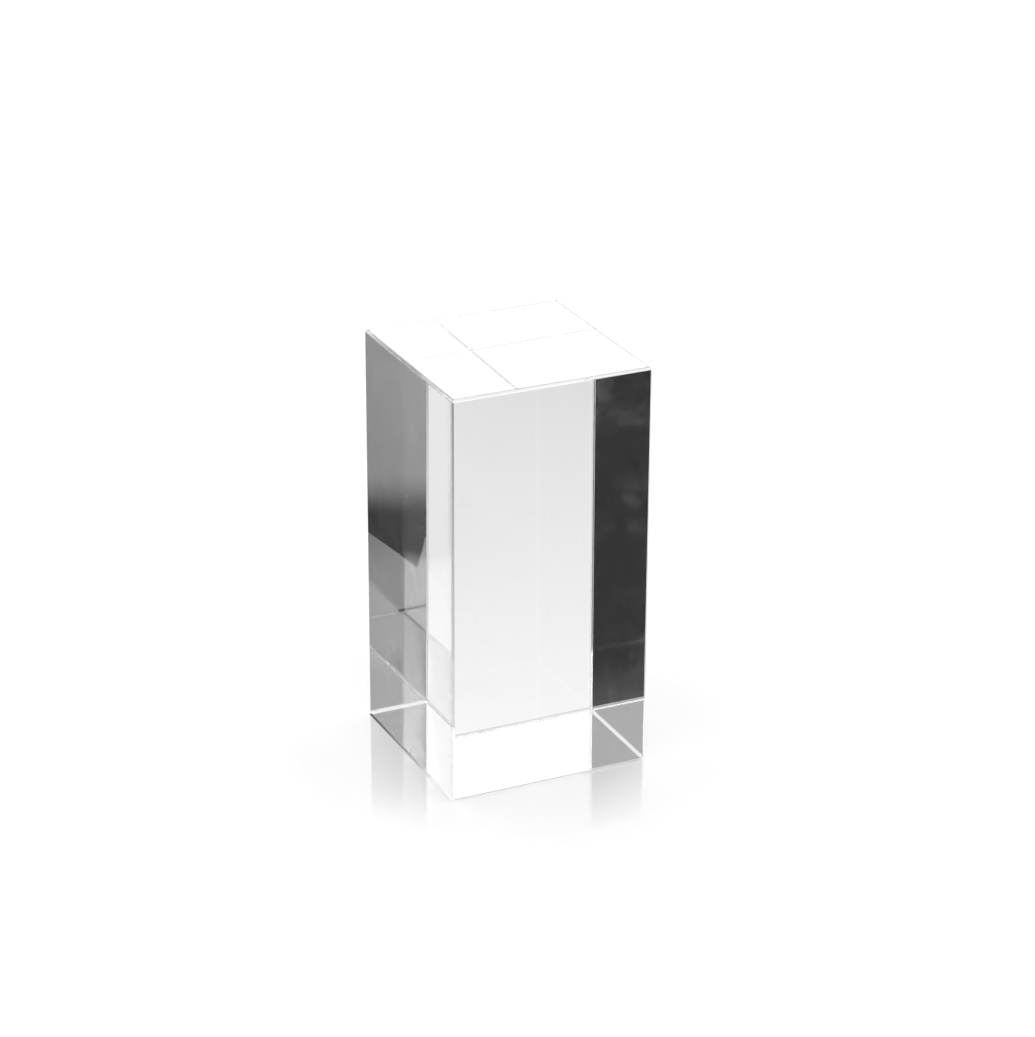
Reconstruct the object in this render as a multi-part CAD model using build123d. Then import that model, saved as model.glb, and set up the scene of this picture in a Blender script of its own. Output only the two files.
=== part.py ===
from build123d import *

import os

# Solid acrylic display block.
#
# A square prism of clear cast acrylic (PMMA), sawn from thick cast sheet, with six diamond-polished
# faces and a small polished chamfer on every edge. It is one piece of material: nothing is glued,
# screwed or inserted, and it can stand on any of its faces.
#
# Frame: millimetres, +Z up. The origin is the centre of the face that the block stands on.
# -Y is the front face and +Z the face that carries the exhibit.

# Driving dimensions. Each one can be changed by itself.
WIDTH = 50.0  # along X
DEPTH = 50.0  # along Y
HEIGHT = 100.0  # along Z, from the face it stands on to the face that carries the exhibit
EDGE_BREAK = 0.5  # leg of the 45 degree chamfer on all twelve edges


def acrylic_block():
    """The prism, standing on the XY plane, with a chamfer on every edge."""
    blank = Box(WIDTH, DEPTH, HEIGHT, align=(Align.CENTER, Align.CENTER, Align.MIN))
    return chamfer(blank.edges(), length=EDGE_BREAK)


# The block is the only physical piece, so there is one node.
NODES = {"acrylic_block": acrylic_block}


def main():
    """Builds each node's solid and writes it to parts/NODE.step."""
    os.makedirs("parts", exist_ok=True)
    for name, make_solid in NODES.items():
        export_step(make_solid(), f"parts/{name}.step")


if __name__ == "__main__":
    main()
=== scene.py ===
"""Builds a solid cast acrylic display block, its materials and a small studio table.

Everything is in metres in the CAD frame's own axes: +Z up, -Y the front, and the origin under the
block's middle.
"""

import math

import bpy
import numpy as np
from bpy.props import FloatProperty, FloatVectorProperty, PointerProperty
from mathutils import Matrix, Vector


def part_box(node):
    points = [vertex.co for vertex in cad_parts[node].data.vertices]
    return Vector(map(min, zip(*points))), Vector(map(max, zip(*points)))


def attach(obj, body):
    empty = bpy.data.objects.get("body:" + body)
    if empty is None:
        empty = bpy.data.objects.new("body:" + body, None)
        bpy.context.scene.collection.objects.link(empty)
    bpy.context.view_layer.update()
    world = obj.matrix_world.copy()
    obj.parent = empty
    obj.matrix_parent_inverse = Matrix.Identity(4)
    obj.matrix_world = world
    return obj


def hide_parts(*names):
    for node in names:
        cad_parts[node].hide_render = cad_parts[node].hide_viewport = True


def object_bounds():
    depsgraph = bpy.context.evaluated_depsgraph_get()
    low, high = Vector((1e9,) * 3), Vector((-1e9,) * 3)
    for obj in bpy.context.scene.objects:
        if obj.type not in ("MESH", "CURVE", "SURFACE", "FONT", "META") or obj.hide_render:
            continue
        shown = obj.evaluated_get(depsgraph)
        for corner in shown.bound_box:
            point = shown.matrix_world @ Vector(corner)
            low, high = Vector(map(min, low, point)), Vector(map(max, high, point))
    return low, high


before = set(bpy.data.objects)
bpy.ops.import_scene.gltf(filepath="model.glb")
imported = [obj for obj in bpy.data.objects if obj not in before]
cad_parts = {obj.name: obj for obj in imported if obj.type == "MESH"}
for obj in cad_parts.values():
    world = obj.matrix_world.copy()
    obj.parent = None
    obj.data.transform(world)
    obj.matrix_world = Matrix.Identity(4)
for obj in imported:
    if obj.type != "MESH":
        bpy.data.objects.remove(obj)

bl_info = {
    "name": "Acrylic display block",
    "version": (1, 0, 0),
    "blender": (4, 5, 0),
    "location": "View3D > Sidebar > Display block",
    "description": "Makes a clear cast acrylic display block and the studio table it stands on",
    "category": "Object",
}

MM = 0.001
NODE = "acrylic_block"
BODY = "root"

CAD_LOW, CAD_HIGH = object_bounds()
BLOCK_LOW, BLOCK_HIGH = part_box(NODE)
BLOCK_SIZE = BLOCK_HIGH - BLOCK_LOW


def node_edge_break(name):
    """Leg of the CAD node's chamfer: how far its top face stops short of its side."""
    points = np.empty(len(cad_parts[name].data.vertices) * 3)
    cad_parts[name].data.vertices.foreach_get("co", points)
    points = points.reshape(-1, 3)
    high = points.max(axis=0)
    top = points[points[:, 2] > high[2] - MM / 100]
    return float(high[0] - top[:, 0].max())


# Colours


def hex_to_linear(code):
    """Linear red, green and blue of an sRGB hex colour, as the shaders want them."""
    parts = [int(code[i : i + 2], 16) / 255 for i in (0, 2, 4)]
    return tuple(p / 12.92 if p <= 0.04045 else ((p + 0.055) / 1.055) ** 2.4 for p in parts)


# Nodes


def add_node(tree, kind, inputs=None, **settings):
    """Adds one node, sets its properties, and fills or links its named or numbered inputs."""
    node = tree.nodes.new(kind)
    for key, value in settings.items():
        setattr(node, key, value)
    for key, value in (inputs or {}).items():
        if isinstance(value, bpy.types.NodeSocket):
            tree.links.new(value, node.inputs[key])
        else:
            node.inputs[key].default_value = value
    return node


def new_material(name):
    """An empty node material with only its output node."""
    material = bpy.data.materials.new(name)
    material.use_nodes = True
    material.node_tree.nodes.clear()
    return material, material.node_tree


# Settings


class DisplayBlockSettings(bpy.types.PropertyGroup):
    edge_break: FloatProperty(
        name="Edge break",
        description="Leg of the 45 degree chamfer on every edge, as the CAD block has it",
        default=node_edge_break(NODE),
        min=0.05 * MM,
        subtype="DISTANCE",
        unit="LENGTH",
    )
    cell: FloatProperty(
        name="Mesh cell",
        description="Largest side of a mesh cell on the polished faces",
        default=1.25 * MM,
        min=0.4 * MM,
        subtype="DISTANCE",
        unit="LENGTH",
    )
    wave_depth: FloatProperty(
        name="Polish wave",
        description="How deep the long waves are that cast sheet and polishing leave in a face",
        default=0.006 * MM,
        min=0.0,
        subtype="DISTANCE",
        unit="LENGTH",
    )
    wave_length: FloatProperty(
        name="Wave length",
        description="Typical distance from crest to crest of the polish waves",
        default=26 * MM,
        min=5 * MM,
        subtype="DISTANCE",
        unit="LENGTH",
    )
    corner_radius: FloatProperty(
        name="Chamfer softening",
        description="Width of the tiny round that buffing leaves where a chamfer meets a face",
        default=0.12 * MM,
        min=0.0,
        subtype="DISTANCE",
        unit="LENGTH",
    )
    edge_clarity: FloatProperty(
        name="Chamfer clarity",
        description="Share of light that passes a chamfer; its fine scratches scatter the rest",
        default=0.85,
        min=0.0,
        max=1.0,
        subtype="FACTOR",
    )
    # Width of the painted shade band round the top face's rim; every face's grid also keeps this
    # width as one cell at its rim.
    shaded_rim_width: FloatProperty(
        name="Rim band",
        description="Width of the duller band that buffing leaves round the top face",
        default=0.9 * MM,
        min=0.05 * MM,
        subtype="DISTANCE",
        unit="LENGTH",
    )
    # Grey tint painted in that band: painted shade that stands in for the dark line along the top
    # edges.
    rim_shade_colour: FloatVectorProperty(
        name="Rim colour",
        description="Tint of the duller band round the top face, where it meets the chamfer",
        default=hex_to_linear("808080"),
        subtype="COLOR",
    )
    body_colour: FloatVectorProperty(
        name="Acrylic colour",
        description="Tint that light takes from one pass through a surface",
        default=hex_to_linear("FFFFFF"),
        subtype="COLOR",
    )
    scuff: FloatProperty(
        name="Foot scuffing",
        description="Share of light that the scuffs on the face it stands on scatter at most",
        default=0.07,
        min=0.0,
        max=1.0,
        subtype="FACTOR",
    )
    haze: FloatProperty(
        name="Surface haze",
        description="Share of light that the smudges and fine dust scatter where they are thickest",
        default=0.06,
        min=0.0,
        max=1.0,
        subtype="FACTOR",
    )


class StudioTableSettings(bpy.types.PropertyGroup):
    azimuth: FloatProperty(
        name="Camera azimuth",
        description="Turn of the camera round the block from straight in front, to the right",
        default=math.radians(-25.2642),
        subtype="ANGLE",
        unit="ROTATION",
    )
    elevation: FloatProperty(
        name="Camera elevation",
        description="Height of the camera above the horizon",
        default=math.radians(23.5328),
        subtype="ANGLE",
        unit="ROTATION",
    )
    roll: FloatProperty(
        name="Camera roll",
        description="Turn of the camera about its own line of sight",
        default=math.radians(0.2953),
        subtype="ANGLE",
        unit="ROTATION",
    )
    distance: FloatProperty(
        name="Camera distance",
        description="From the point aimed at to the camera",
        default=803.05 * MM,
        subtype="DISTANCE",
        unit="LENGTH",
    )
    lens: FloatProperty(
        name="Lens",
        description="Focal length on a 36 mm wide sensor, in millimetres",
        default=118.26,
        min=1.0,
    )
    aim_right: FloatProperty(
        name="Aim right",
        description="How far right of the block's centre the camera aims",
        default=2.695 * MM,
        subtype="DISTANCE",
        unit="LENGTH",
    )
    aim_up: FloatProperty(
        name="Aim up",
        description="How far above the block's centre the camera aims",
        default=6.67 * MM,
        subtype="DISTANCE",
        unit="LENGTH",
    )
    floor_colour: FloatVectorProperty(
        name="Floor colour",
        description="Colour of the pale table top",
        default=hex_to_linear("F4F4F4"),
        subtype="COLOR",
    )
    floor_gap: FloatProperty(
        name="Air film",
        description="Thickness of the air film between the block and the table top",
        default=0.03 * MM,
        subtype="DISTANCE",
        unit="LENGTH",
    )
    floor_gloss: FloatProperty(
        name="Floor gloss",
        description="Share of the light that the table top mirrors at the block's foot",
        default=0.46,
        min=0.0,
        max=1.0,
        subtype="FACTOR",
    )
    gloss_reach: FloatProperty(
        name="Gloss reach",
        description="Distance from the block's axis at which the table top has turned fully matt",
        default=52 * MM,
        subtype="DISTANCE",
        unit="LENGTH",
    )
    floor_roughness: FloatProperty(
        name="Floor roughness",
        description="How fast the block's mirror image blurs away from its foot",
        default=0.05,
        min=0.0,
        max=1.0,
        subtype="FACTOR",
    )
    # Brightness of the glowing patch of painted light under the block.
    patch_light: FloatProperty(
        name="Patch brightness",
        description="Brightness of the white patch under the block",
        default=1.3,
        min=0.0,
    )
    softbox_size: FloatProperty(
        name="Softbox size",
        description="Side of the square softbox over the table",
        default=0.9,
        subtype="DISTANCE",
        unit="LENGTH",
    )
    softbox_height: FloatProperty(
        name="Softbox height",
        description="Height of the softbox over the table top",
        default=1.2,
        subtype="DISTANCE",
        unit="LENGTH",
    )
    softbox_power: FloatProperty(
        name="Softbox power",
        description="Power of the softbox in watts",
        default=2.0,
        min=0.0,
    )
    surround: FloatProperty(
        name="Surround brightness",
        description="Brightness of the white studio all round",
        default=1.1,
        min=0.0,
    )


# The block

SHADED_RIM_FACE = (2, 1)  # axis and side of the face that carries the painted shade band round its rim: the top
RIPPLES = 4  # cosine ripples that make up the polish waves of a face
RIPPLE_SPREAD = (0.7, 1.5)  # shortest and longest ripple, in wave lengths
WINDOW_POWER = 0.5  # below 1 keeps the waves strong up to near the rim
CREASE_ANGLE = math.radians(20)  # faces that meet at more than this keep a sharp edge
BEVEL_ANGLE = math.radians(25)  # and at more than this are rounded
BEVEL_SEGMENTS = 3
POLISHED, SCRAPED = 0, 1  # material slots of the block


def axis_stations(half, edge, rim, cell):
    """Coordinates of the grid lines across one face along one axis.

    The flat runs from -(half - edge) to half - edge. Inside its rim bands the lines are evenly
    spaced. One more line lies outside each end, and the face function folds it on to the chamfer.
    """
    flat = half - edge
    count = max(2, int(math.ceil(2 * (flat - rim) / cell)))
    inner = np.linspace(rim - flat, flat - rim, count + 1)
    return np.concatenate(([-half, -flat], inner, [flat, half]))


def face_wave(u, v, half_u, half_v, length, seed):
    """Height of the polish waves on one face, from 0 to 1.

    The mean of a few cosine ripples whose directions and phases differ from face to face, raised to
    lie between 0 and 1, and faded to 0 at the rim of the face by a cosine window along each side.
    """
    rng = np.random.default_rng(seed)
    total = np.zeros(np.broadcast(u, v).shape)
    for _ in range(RIPPLES):
        heading, phase = rng.uniform(0, math.tau, 2)
        rate = math.tau / (length * rng.uniform(*RIPPLE_SPREAD))
        total = total + np.cos(rate * (u * math.cos(heading) + v * math.sin(heading)) + phase)
    fade = np.cos(np.clip(u / half_u, -1, 1) * math.pi / 2) ** WINDOW_POWER
    fade = fade * np.cos(np.clip(v / half_v, -1, 1) * math.pi / 2) ** WINDOW_POWER
    return (total / (2 * RIPPLES) + 0.5) * fade


def block_face(axis, side, halves, settings):
    """Points of one face of the block and its half of each chamfer round it, as a grid.

    A grid point on the flat keeps its two tangential coordinates and sits on the face plane, less
    the polish wave. A point outside the flat lies on e of the outer grid lines, 1 on a chamfer and
    2 in a corner, and each of its coordinates that is at the rim is its half size less
    edge * e / (e + 1). That is the middle line of a chamfer for e = 1, and the middle of the small
    corner triangle for e = 2, so the three faces at a corner share it. Also returns e, and the
    painted rim shade: on the top face 1 at the edge of the flat and beyond, falling evenly to 0
    across the grey band, and 0 on the other faces.
    """
    edge, rim = settings.edge_break, settings.shaded_rim_width
    first, second = [k for k in range(3) if k != axis]
    s = axis_stations(halves[first], edge, rim, settings.cell)
    t = axis_stations(halves[second], edge, rim, settings.cell)
    u, v = np.meshgrid(s, t, indexing="ij")
    out_u = np.abs(u) > halves[first] - edge / 2
    out_v = np.abs(v) > halves[second] - edge / 2
    rims = out_u.astype(int) + out_v
    drop = edge * rims / (rims + 1)
    flat_u, flat_v = halves[first] - edge, halves[second] - edge
    wave = face_wave(u, v, flat_u, flat_v, settings.wave_length, 10 * axis + side + 1)
    points = np.empty(u.shape + (3,))
    points[..., first] = np.where(out_u, np.sign(u) * (halves[first] - drop), u)
    points[..., second] = np.where(out_v, np.sign(v) * (halves[second] - drop), v)
    points[..., axis] = side * (halves[axis] - np.where(rims > 0, drop, settings.wave_depth * wave))
    inset = np.minimum(flat_u - np.abs(u), flat_v - np.abs(v))
    rim_shade_band = np.clip(1 - inset / rim, 0, 1) * ((axis, side) == SHADED_RIM_FACE)
    return points, rims, rim_shade_band


def grid_quads(rows, columns, flip):
    """Corner numbers of the cells of a grid, anticlockwise seen from outside."""
    index = np.arange(rows * columns).reshape(rows, columns)
    quads = np.stack((index[:-1, :-1], index[1:, :-1], index[1:, 1:], index[:-1, 1:]), axis=-1)
    quads = quads.reshape(-1, 4)
    return quads[:, ::-1] if flip else quads


def block_mesh(settings):
    """The whole block: six face grids, joined where their rims coincide.

    The cells that touch a rim line are the chamfers and take the scraped material.
    """
    halves = np.array(BLOCK_SIZE) / 2
    centre = np.array((BLOCK_LOW + BLOCK_HIGH) / 2)
    points, quads, slots, rim_shade_bands, start = [], [], [], [], 0
    for axis in range(3):
        for side in (-1, 1):
            grid, rims, rim_shade_band = block_face(axis, side, halves, settings)
            flip = (side < 0) != (axis == 1)
            cells = grid_quads(*rims.shape, flip) + start
            points.append(grid.reshape(-1, 3) + centre)
            rim_shade_bands.append(rim_shade_band.reshape(-1))
            quads.append(cells)
            chamfer = rims.reshape(-1)[cells - start].max(axis=1) > 0
            slots.append(np.where(chamfer, SCRAPED, POLISHED).astype(np.int32))
            start += rims.size
    points, quads, slots = np.concatenate(points), np.concatenate(quads), np.concatenate(slots)
    keys = np.round(points / (MM / 1000)).astype(np.int64)
    _, keep, merged = np.unique(keys, axis=0, return_index=True, return_inverse=True)
    quads = merged.reshape(-1)[quads]
    mesh = bpy.data.meshes.new(NODE + "_polished")
    mesh.from_pydata(points[keep], [], quads)
    # Painted rim shade of each point: 1 where the grey band round the top face is full.
    rim = mesh.attributes.new("rim", "FLOAT", "POINT")
    rim.data.foreach_set("value", np.concatenate(rim_shade_bands)[keep])
    mesh.polygons.foreach_set("material_index", slots)
    mesh.shade_smooth()
    mesh.set_sharp_from_angle(angle=CREASE_ANGLE)
    mesh.update()
    return mesh


ACRYLIC_IOR = 1.491
SMUDGE_SIZE = 14 * MM  # about a fingertip
DUST_SIZE = 0.7 * MM  # real dust is finer, and is drawn coarser so that it shows
DUST_SHARE = 0.5  # how much the thickest dust weighs beside the thickest smudge
SCUFF_SIZE = 9 * MM
FOOT_HEIGHT = 0.1 * MM  # the scuffs lie on the face it stands on, so only below this height
CHATTER_SIZE = 0.8 * MM  # real scraper marks are closer, and are drawn coarser so that they show
SATIN = (0.04, 0.12)  # least and greatest roughness of a scraped chamfer


def blots(tree, size, reach, levels, interpolation, **noise):
    """Cloudy pattern of blots about as wide as size.

    reach holds the least and greatest noise that count, and levels the values that they turn into.
    """
    place = add_node(tree, "ShaderNodeTexCoord").outputs["Object"]
    cloud = add_node(tree, "ShaderNodeTexNoise", {"Vector": place, "Scale": 1 / size, **noise})
    stretched = add_node(
        tree,
        "ShaderNodeMapRange",
        {
            "Value": cloud.outputs["Fac"],
            "From Min": reach[0],
            "From Max": reach[1],
            "To Min": levels[0],
            "To Max": levels[1],
        },
        interpolation_type=interpolation,
    )
    return stretched.outputs["Result"]


def polished_acrylic(settings):
    """Polished cast acrylic (PMMA): a clear body and a mirror-smooth skin.

    The faces are diamond-milled and buffed, so they reflect like glass, and the body is colourless.
    Handling leaves faint finger smudges and fine dust, which show only where something dark lies
    behind. The face it stands on is faintly scuffed. A grey tint round the top face's rim is
    painted shade that stands in for the dark line along the top edges.
    """
    material, tree = new_material("cast_acrylic_polished")
    smudge = blots(
        tree,
        SMUDGE_SIZE,
        (0.5, 0.75),
        (0.0, 1.0),
        "SMOOTHSTEP",
        Detail=5.0,
        Roughness=0.6,
        Distortion=0.6,
    )
    dust = blots(tree, DUST_SIZE, (0.5, 0.8), (0.0, DUST_SHARE), "LINEAR", Detail=2.0)
    dirt = add_node(tree, "ShaderNodeMath", {0: smudge, 1: dust}, operation="ADD")
    clean = add_node(
        tree,
        "ShaderNodeMapRange",
        {
            "Value": dirt.outputs["Value"],
            "From Min": 0.0,
            "From Max": 1.0 + DUST_SHARE,
            "To Min": 1.0,
            "To Max": 1.0 - settings.haze,
        },
    )
    place = add_node(tree, "ShaderNodeTexCoord").outputs["Object"]
    foot = add_node(
        tree,
        "ShaderNodeMapRange",
        {
            "Value": add_node(tree, "ShaderNodeSeparateXYZ", {"Vector": place}).outputs["Z"],
            "From Min": 0.0,
            "From Max": FOOT_HEIGHT,
            "To Min": settings.scuff,
            "To Max": 0.0,
        },
    )
    scuff = blots(tree, SCUFF_SIZE, (0.4, 0.65), (0.0, 1.0), "LINEAR", Detail=2.0, Roughness=0.4)
    worn = add_node(
        tree, "ShaderNodeMath", {0: foot.outputs["Result"], 1: scuff}, operation="MULTIPLY"
    )
    clear = add_node(
        tree,
        "ShaderNodeMath",
        {0: clean.outputs["Result"], 1: worn.outputs["Value"]},
        operation="SUBTRACT",
    )
    # Painted shade: the grey tint in the band round the top face's rim.
    rim = add_node(tree, "ShaderNodeAttribute", attribute_name="rim").outputs["Fac"]
    body, rim_shade = (*settings.body_colour, 1.0), (*settings.rim_shade_colour, 1.0)
    tint_with_rim_shade = add_node(tree, "ShaderNodeMix", {0: rim, 6: body, 7: rim_shade}, data_type="RGBA")
    shader = add_node(
        tree,
        "ShaderNodeBsdfPrincipled",
        {
            "Base Color": tint_with_rim_shade.outputs[2],
            "Roughness": 0.0,
            "IOR": ACRYLIC_IOR,
            "Transmission Weight": clear.outputs["Value"],
        },
    )
    add_node(tree, "ShaderNodeOutputMaterial", {"Surface": shader.outputs["BSDF"]})
    return material


def scraped_acrylic(settings):
    """Scraped and buffed acrylic edge: the chamfers are cut with a scraper and lightly polished.

    The cutter leaves a fine satin that spreads the light, so the edges show as soft thin lines.
    """
    material, tree = new_material("cast_acrylic_scraped_edge")
    shader = add_node(
        tree,
        "ShaderNodeBsdfPrincipled",
        {
            "Base Color": (*settings.body_colour, 1.0),
            "Roughness": blots(tree, CHATTER_SIZE, (0.3, 0.7), SATIN, "LINEAR", Detail=3.0),
            "IOR": ACRYLIC_IOR,
            "Transmission Weight": settings.edge_clarity,
        },
    )
    add_node(tree, "ShaderNodeOutputMaterial", {"Surface": shader.outputs["BSDF"]})
    return material


class OBJECT_OT_display_block(bpy.types.Operator):
    """Makes the polished acrylic block, in the CAD block's place"""

    bl_idname = "object.display_block_make"
    bl_label = "Make acrylic block"

    def execute(self, context):
        settings = context.scene.display_block
        block = bpy.data.objects.new("polished_block", block_mesh(settings))
        context.scene.collection.objects.link(block)
        block.data.materials.append(polished_acrylic(settings))  # slot POLISHED
        block.data.materials.append(scraped_acrylic(settings))  # slot SCRAPED
        soften = block.modifiers.new("Buffed rims", "BEVEL")
        soften.width = settings.corner_radius
        soften.segments = BEVEL_SEGMENTS
        soften.limit_method = "ANGLE"
        soften.angle_limit = BEVEL_ANGLE
        soften.harden_normals = True
        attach(block, BODY)
        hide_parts(NODE)
        return {"FINISHED"}


# The studio table

WHITE = (1.0, 1.0, 1.0, 1.0)
TABLE_REACH = 40 * BLOCK_SIZE.x
SHEET_LINES = 9  # grid lines each way in a flat sheet
LIGHT_BOUNCES = 40  # light turns back many times inside a clear block

# Cards hung round the block, far away, as (name, azimuth, half width, softness of the sides,
# lowest, highest, softness of the ends, brightness at the lowest, brightness at the highest).
# Angles are in degrees, seen from the block: azimuth 0 is straight behind it and 90 to its right,
# and heights below 0 lie on the table side. A later card hides an earlier one.
CARDS = (
    ("pale_wall_and_table", 0.0, 190.0, 1.0, -100.0, 12.0, 2.0, 0.86, 0.86),
    ("white_card_above_behind", 24.0, 11.0, 2.0, 3.5, 46.0, 1.0, 1.15, 1.15),
    ("white_sweep_behind", 15.0, 25.0, 2.0, -40.0, -13.0, 2.0, 1.45, 0.48),
    ("white_sweep_upper", 20.0, 4.05, 0.1, -24.2, -13.0, 0.15, 1.04, 1.04),
    ("white_sweep_lower", 20.0, 4.05, 0.1, -40.0, -24.2, 0.15, 1.6, 0.92),
    ("black_flag_behind_left", -24.5, 12.5, 2.0, -30.0, -13.0, 0.5, 0.008, 0.008),
    ("black_flag_foot", -29.0, 10.0, 0.5, -30.0, -26.0, 0.4, 0.28, 0.02),
    ("grey_card_behind_left", -25.0, 12.0, 2.0, -5.0, 15.0, 1.0, 0.38, 0.38),
    ("grey_card_behind_right", 25.0, 8.0, 2.0, -9.0, -1.5, 1.0, 0.4, 0.4),
    ("black_flag_behind_right", 48.8, 9.8, 0.6, -30.0, -5.0, 1.0, 0.1, 0.1),
    ("black_flag_right_foot", 48.8, 9.8, 0.6, -30.0, -21.0, 0.3, 0.9, 0.15),
    ("strip_light_above_left", -26.0, 9.0, 1.0, 15.5, 25.7, 0.3, 0.95, 0.95),
    ("grey_card_above_left", -34.0, 17.0, 1.0, 25.9, 62.0, 0.3, 0.42, 0.42),
    ("spot_high_left", -44.0, 2.0, 1.0, 54.0, 58.0, 1.0, 1.3, 1.3),
    ("grey_card_high_left", -36.0, 4.5, 1.0, 44.0, 56.0, 1.0, 0.35, 0.35),
    ("dark_card_high_right", 37.5, 2.8, 0.8, 48.5, 57.0, 0.8, 0.2, 0.2),
    ("grey_card_front_right", 157.0, 9.0, 1.0, -40.0, -13.0, 1.0, 0.3, 0.3),
    ("shaded_card_front_right", 160.0, 4.5, 0.5, -25.5, -15.0, 0.5, 0.28, 0.5),
    ("dark_card_front_right", 160.0, 4.5, 0.5, -24.9, -23.1, 0.4, 0.02, 0.04),
    ("grey_card_above_front_right", 157.0, 9.0, 2.0, 24.0, 40.0, 1.0, 0.44, 0.44),
    ("dark_card_above_front_right", 152.0, 6.0, 2.0, 10.0, 23.0, 1.0, 0.05, 0.05),
    ("grey_card_front_left", -152.0, 8.0, 0.3, -40.0, -13.0, 1.0, 0.3, 0.3),
    ("grey_card_above_front_left", -150.0, 6.0, 0.3, 24.7, 40.0, 0.3, 0.3, 0.3),
    ("dark_card_above_front_left", -149.5, 3.5, 0.5, 13.0, 21.0, 0.5, 0.05, 0.05),
    ("white_strip_above_front_left", -156.0, 3.0, 0.3, 20.5, 24.4, 0.3, 1.5, 1.5),
    ("strip_light_above_front_left", -159.2, 2.75, 0.15, 23.5, 28.3, 0.5, 0.6, 3.4),
    ("strip_light_front_left", -159.0, 3.3, 0.3, -35.0, -24.2, 0.15, 2.0, 2.0),
    ("black_flag_left", -127.5, 16.0, 2.0, -30.0, -5.0, 1.0, 0.1, 0.1),
    ("black_flag_left_foot", -136.0, 7.5, 1.0, -30.0, -21.0, 0.3, 0.9, 0.15),
    ("grey_card_left_back", -65.0, 8.0, 2.0, -9.0, 6.0, 1.0, 0.4, 0.4),
    ("grey_card_left_front", -115.0, 8.0, 2.0, -9.0, 6.0, 1.0, 0.4, 0.4),
)

# Plan of the glowing sheet of painted shade on the table at the block's right, seen only through
# the block: its corners as (x, y, brightness), in block widths from the block's axis, then its
# faces. The last two are thin strips that lie on it, a darker and a lighter painted line.
SHADE_PLATE_CORNERS = (
    (0.5, -2.2, 0.12),
    (0.973, -2.2, 0.12),
    (1.095, -0.985, 0.33),
    (0.5, -0.985, 0.33),
    (0.5, 0.0, 0.32),
    (1.095, 0.0, 0.32),
    (1.3, 0.0, 0.32),
    (1.3, -1.34, 0.32),
    (0.79, -0.54, 0.06),
    (1.05, -0.54, 0.06),
    (1.05, -0.507, 0.06),
    (0.79, -0.507, 0.06),
    (0.5, -0.52, 0.46),
    (0.78, -0.52, 0.46),
    (0.78, -0.49, 0.46),
    (0.5, -0.49, 0.46),
)
SHADE_PLATE_FACES = ((0, 1, 2, 3), (3, 2, 5, 4), (2, 7, 6, 5), (8, 9, 10, 11), (12, 13, 14, 15))
SHADE_PLATE_STRIPS = 8  # number of the first corner that belongs to a strip

# Contact shadow along the block's left foot, in block widths: its width, and (y, brightness) from
# the back to the front.
CONTACT_WIDTH = 0.016
CONTACT_SHADE = ((0.49, 0.12), (0.3, 0.17), (-0.1, 0.5), (-0.25, 0.88), (-0.5, 1.0))


def window(tree, value, middle, half, soft):
    """1 where value is within half of middle and 0 outside, with an edge of soft on each side."""
    away = add_node(tree, "ShaderNodeMath", {0: value, 1: middle}, operation="SUBTRACT")
    size = add_node(tree, "ShaderNodeMath", {0: away.outputs["Value"]}, operation="ABSOLUTE")
    edge = add_node(
        tree,
        "ShaderNodeMapRange",
        {
            "Value": size.outputs["Value"],
            "From Min": half + soft,
            "From Max": half - soft,
            "To Min": 0.0,
            "To Max": 1.0,
        },
        interpolation_type="SMOOTHSTEP",
    )
    return edge.outputs["Result"]


def sky_angles(tree):
    """Azimuth and height above the horizon, in degrees, of the direction that is looked in."""
    heading = add_node(tree, "ShaderNodeTexCoord").outputs["Generated"]
    parts = add_node(tree, "ShaderNodeSeparateXYZ", {"Vector": heading}).outputs
    turn = add_node(tree, "ShaderNodeMath", {0: parts["X"], 1: parts["Y"]}, operation="ARCTAN2")
    climb = add_node(tree, "ShaderNodeMath", {0: parts["Z"]}, operation="ARCSINE")
    return [
        add_node(
            tree, "ShaderNodeMath", {0: angle.outputs["Value"]}, operation="DEGREES"
        ).outputs["Value"]
        for angle in (turn, climb)
    ]


def studio_surround(settings):
    """White room with the cards in it, painted by direction, and plain to the camera and the table.

    A clear block shows only what lies behind and beside it, so the cards give it its tones. They
    are far from the block, so direction alone says where each one is.
    """
    world = bpy.data.worlds.new("white_studio")
    bpy.context.scene.world = world
    world.use_nodes = True
    tree = world.node_tree
    tree.nodes.clear()
    azimuth, height = sky_angles(tree)
    tone = settings.surround
    for _, middle, half, side_soft, low, high, end_soft, tone_low, tone_high in CARDS:
        across = window(tree, azimuth, middle, half, side_soft)
        upright = window(tree, height, (low + high) / 2, (high - low) / 2, end_soft)
        mask = add_node(tree, "ShaderNodeMath", {0: across, 1: upright}, operation="MULTIPLY")
        card = add_node(
            tree,
            "ShaderNodeMapRange",
            {
                "Value": height,
                "From Min": low,
                "From Max": high,
                "To Min": tone_low,
                "To Max": tone_high,
            },
        )
        mix = {0: mask.outputs["Value"], 2: tone, 3: card.outputs["Result"]}
        tone = add_node(tree, "ShaderNodeMix", mix).outputs["Result"]
    room = add_node(tree, "ShaderNodeBackground", {"Color": WHITE, "Strength": tone})
    plain = add_node(tree, "ShaderNodeBackground", {"Color": WHITE, "Strength": settings.surround})
    path = add_node(tree, "ShaderNodeLightPath").outputs
    direct = add_node(
        tree,
        "ShaderNodeMath",
        {0: path["Is Camera Ray"], 1: path["Is Diffuse Ray"]},
        operation="ADD",
    )
    both = add_node(
        tree,
        "ShaderNodeMixShader",
        {
            0: direct.outputs["Value"],
            1: room.outputs["Background"],
            2: plain.outputs["Background"],
        },
    )
    add_node(tree, "ShaderNodeOutputWorld", {"Surface": both.outputs["Shader"]})


def hide_from(thing, *kinds):
    """Keeps a stage sheet out of sight of the named kinds of ray."""
    for kind in kinds:
        setattr(thing, "visible_" + kind, False)


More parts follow.
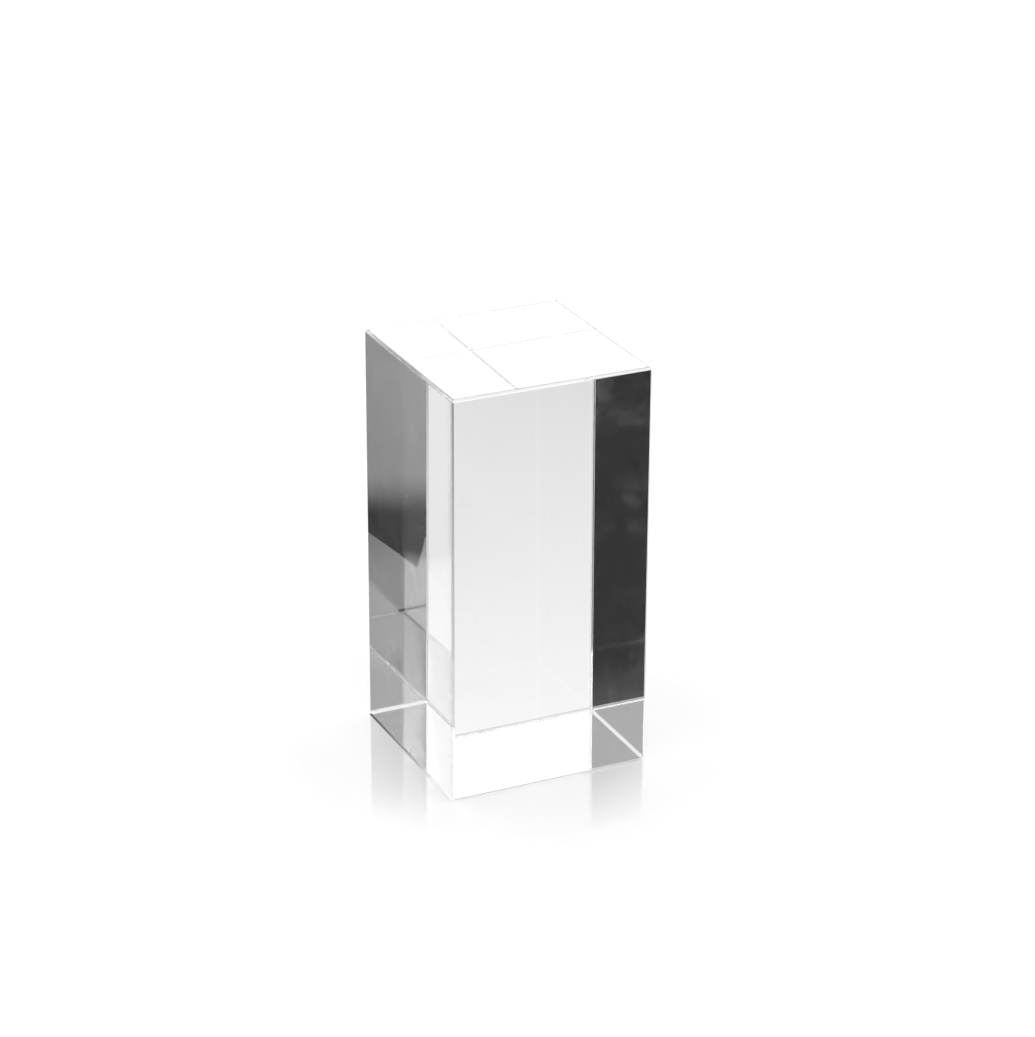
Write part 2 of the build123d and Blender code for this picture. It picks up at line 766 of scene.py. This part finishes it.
def flat_sheet(name, reach, height, material):
    """A level square sheet, as a grid, with its centre on the Z axis."""
    lines = np.linspace(-reach, reach, SHEET_LINES)
    s, t = np.meshgrid(lines, lines, indexing="ij")
    points = np.stack((s, t, np.full(s.shape, height)), axis=-1).reshape(-1, 3)
    mesh = bpy.data.meshes.new(name)
    mesh.from_pydata(points, [], grid_quads(*s.shape, False))
    mesh.materials.append(material)
    sheet = bpy.data.objects.new(name, mesh)
    bpy.context.scene.collection.objects.link(sheet)
    return sheet


def table_top(settings):
    """Plain pale table top: a large flat sheet with a soft gloss, as opal acrylic sheet has.

    Its gloss is strongest round the block and fades outwards, so only the block's foot is mirrored.
    Light that the block bends passes it by, as through a glass table, so the block shows the cards
    below.
    """
    material, tree = new_material("opal_table_top")
    colour = (*settings.floor_colour, 1.0)
    matt = add_node(tree, "ShaderNodeBsdfDiffuse", {"Color": colour, "Roughness": 0.0})
    gloss = add_node(
        tree, "ShaderNodeBsdfGlossy", {"Color": WHITE, "Roughness": settings.floor_roughness}
    )
    place = add_node(tree, "ShaderNodeTexCoord").outputs["Object"]
    away = add_node(tree, "ShaderNodeVectorMath", {0: place}, operation="LENGTH")
    share = add_node(
        tree,
        "ShaderNodeMapRange",
        {
            "Value": away.outputs["Value"],
            "From Min": BLOCK_SIZE.x / 2,
            "From Max": settings.gloss_reach,
            "To Min": settings.floor_gloss,
            "To Max": 0.0,
        },
    )
    both = add_node(
        tree,
        "ShaderNodeMixShader",
        {0: share.outputs["Result"], 1: matt.outputs["BSDF"], 2: gloss.outputs["BSDF"]},
    )
    add_node(tree, "ShaderNodeOutputMaterial", {"Surface": both.outputs["Shader"]})
    table = flat_sheet("table_top", TABLE_REACH, -settings.floor_gap, material)
    hide_from(table, "transmission", "glossy")


def toned_sheet(name, corners, faces, heights):
    """A level sheet that glows as bright as the tone that follows x and y in each of its corners.

    x and y are in block widths, and heights are in metres, one for each corner or one for all.
    """
    material, tree = new_material(name)
    tone = add_node(tree, "ShaderNodeAttribute", attribute_name="tone").outputs["Fac"]
    glow = add_node(tree, "ShaderNodeEmission", {"Color": WHITE, "Strength": tone})
    add_node(tree, "ShaderNodeOutputMaterial", {"Surface": glow.outputs["Emission"]})
    corners = np.array(corners)
    points = corners * (BLOCK_SIZE.x, BLOCK_SIZE.x, 0.0)
    points[:, 2] = heights
    mesh = bpy.data.meshes.new(name)
    mesh.from_pydata(points, [], faces)
    tones = mesh.attributes.new("tone", "FLOAT", "POINT")
    tones.data.foreach_set("value", corners[:, 2])
    mesh.materials.append(material)
    sheet = bpy.data.objects.new(name, mesh)
    bpy.context.scene.collection.objects.link(sheet)
    return sheet


def painted_shade_plate(settings):
    """Glowing sheet on the table at the block's right, seen only through the block: painted shade,
    with a darker and a lighter painted line on it.
    """
    heights = np.full(len(SHADE_PLATE_CORNERS), -settings.floor_gap / 2)
    heights[SHADE_PLATE_STRIPS:] /= 2
    shade_plate = toned_sheet("painted_shade_plate", SHADE_PLATE_CORNERS, SHADE_PLATE_FACES, heights)
    hide_from(shade_plate, "camera", "diffuse", "glossy", "shadow")


def contact_shadow(settings):
    """Thin dark line on the table along the block's left foot, which fades towards the front."""
    foot = node_edge_break(NODE) / BLOCK_SIZE.x - 0.5
    near = [(foot, y, tone) for y, tone in CONTACT_SHADE]
    far = [(foot - CONTACT_WIDTH, y, tone) for y, tone in CONTACT_SHADE]
    count = len(CONTACT_SHADE)
    faces = [(k, k + count, k + count + 1, k + 1) for k in range(count - 1)]
    line = toned_sheet("contact_shadow", near + far, faces, -settings.floor_gap / 2)
    hide_from(line, "diffuse", "glossy", "transmission", "shadow")


def lit_patch(settings):
    """Glowing white patch right under the block, seen only through it: painted light standing in
    for the lit table there.
    """
    material, tree = new_material("lit_white_patch")
    glow = add_node(
        tree, "ShaderNodeEmission", {"Color": WHITE, "Strength": settings.patch_light}
    )
    add_node(tree, "ShaderNodeOutputMaterial", {"Surface": glow.outputs["Emission"]})
    patch = flat_sheet("lit_patch", BLOCK_SIZE.x / 2, -settings.floor_gap / 2, material)
    hide_from(patch, "camera", "diffuse", "glossy", "shadow")


def overhead_light(settings):
    """Large soft light straight over the table."""
    data = bpy.data.lights.new("overhead_softbox", "AREA")
    data.shape = "SQUARE"
    data.size = settings.softbox_size
    data.energy = settings.softbox_power
    light = bpy.data.objects.new("overhead_softbox", data)
    light.location = (0.0, 0.0, settings.softbox_height)
    light.visible_camera = False
    bpy.context.scene.collection.objects.link(light)


def add_camera(settings):
    """Camera on a sphere round the aim point: back along azimuth and elevation, then rolled."""
    a, e = settings.azimuth, settings.elevation
    back = Vector((math.sin(a) * math.cos(e), -math.cos(a) * math.cos(e), math.sin(e)))
    right = Vector((math.cos(a), math.sin(a), 0.0))
    up = back.cross(right)
    centre = (CAD_LOW + CAD_HIGH) / 2
    aim = centre + right * settings.aim_right + up * settings.aim_up
    turn = Matrix.Rotation(settings.roll, 3, back)
    axes = Matrix((turn @ right, turn @ up, back)).transposed().to_4x4()
    data = bpy.data.cameras.new("camera")
    data.sensor_width = 36.0
    data.lens = settings.lens
    data.clip_start, data.clip_end = 0.01, 100.0
    camera = bpy.data.objects.new("camera", data)
    bpy.context.scene.collection.objects.link(camera)
    camera.matrix_world = Matrix.Translation(aim + back * settings.distance) @ axes
    bpy.context.scene.camera = camera


class SCENE_OT_studio_table(bpy.types.Operator):
    """Makes the table top, the cards, the light and the camera"""

    bl_idname = "scene.studio_table_make"
    bl_label = "Make studio table"

    def execute(self, context):
        settings = context.scene.studio_table
        studio_surround(settings)
        table_top(settings)
        painted_shade_plate(settings)
        contact_shadow(settings)
        lit_patch(settings)
        overhead_light(settings)
        add_camera(settings)
        context.scene.view_settings.view_transform = "Standard"
        context.scene.cycles.max_bounces = LIGHT_BOUNCES
        context.scene.cycles.transmission_bounces = LIGHT_BOUNCES
        context.scene.cycles.glossy_bounces = LIGHT_BOUNCES
        return {"FINISHED"}


class VIEW3D_PT_display_block(bpy.types.Panel):
    """Sizes and colours of the block and its table, with the buttons that make them"""

    bl_idname = "VIEW3D_PT_display_block"
    bl_label = "Display block"
    bl_space_type = "VIEW_3D"
    bl_region_type = "UI"
    bl_category = "Display block"

    def draw(self, context):
        for group, operator in (
            (context.scene.display_block, OBJECT_OT_display_block),
            (context.scene.studio_table, SCENE_OT_studio_table),
        ):
            box = self.layout.box()
            for name in group.__annotations__:
                box.prop(group, name)
            box.operator(operator.bl_idname)


CLASSES = (
    DisplayBlockSettings,
    StudioTableSettings,
    OBJECT_OT_display_block,
    SCENE_OT_studio_table,
    VIEW3D_PT_display_block,
)


def register():
    for cls in CLASSES:
        bpy.utils.register_class(cls)
    bpy.types.Scene.display_block = PointerProperty(type=DisplayBlockSettings)
    bpy.types.Scene.studio_table = PointerProperty(type=StudioTableSettings)


def unregister():
    del bpy.types.Scene.studio_table
    del bpy.types.Scene.display_block
    for cls in reversed(CLASSES):
        bpy.utils.unregister_class(cls)


def main():
    register()
    bpy.ops.object.display_block_make()
    bpy.ops.scene.studio_table_make()
    bpy.context.view_layer.update()


if __name__ == "__main__":
    main()
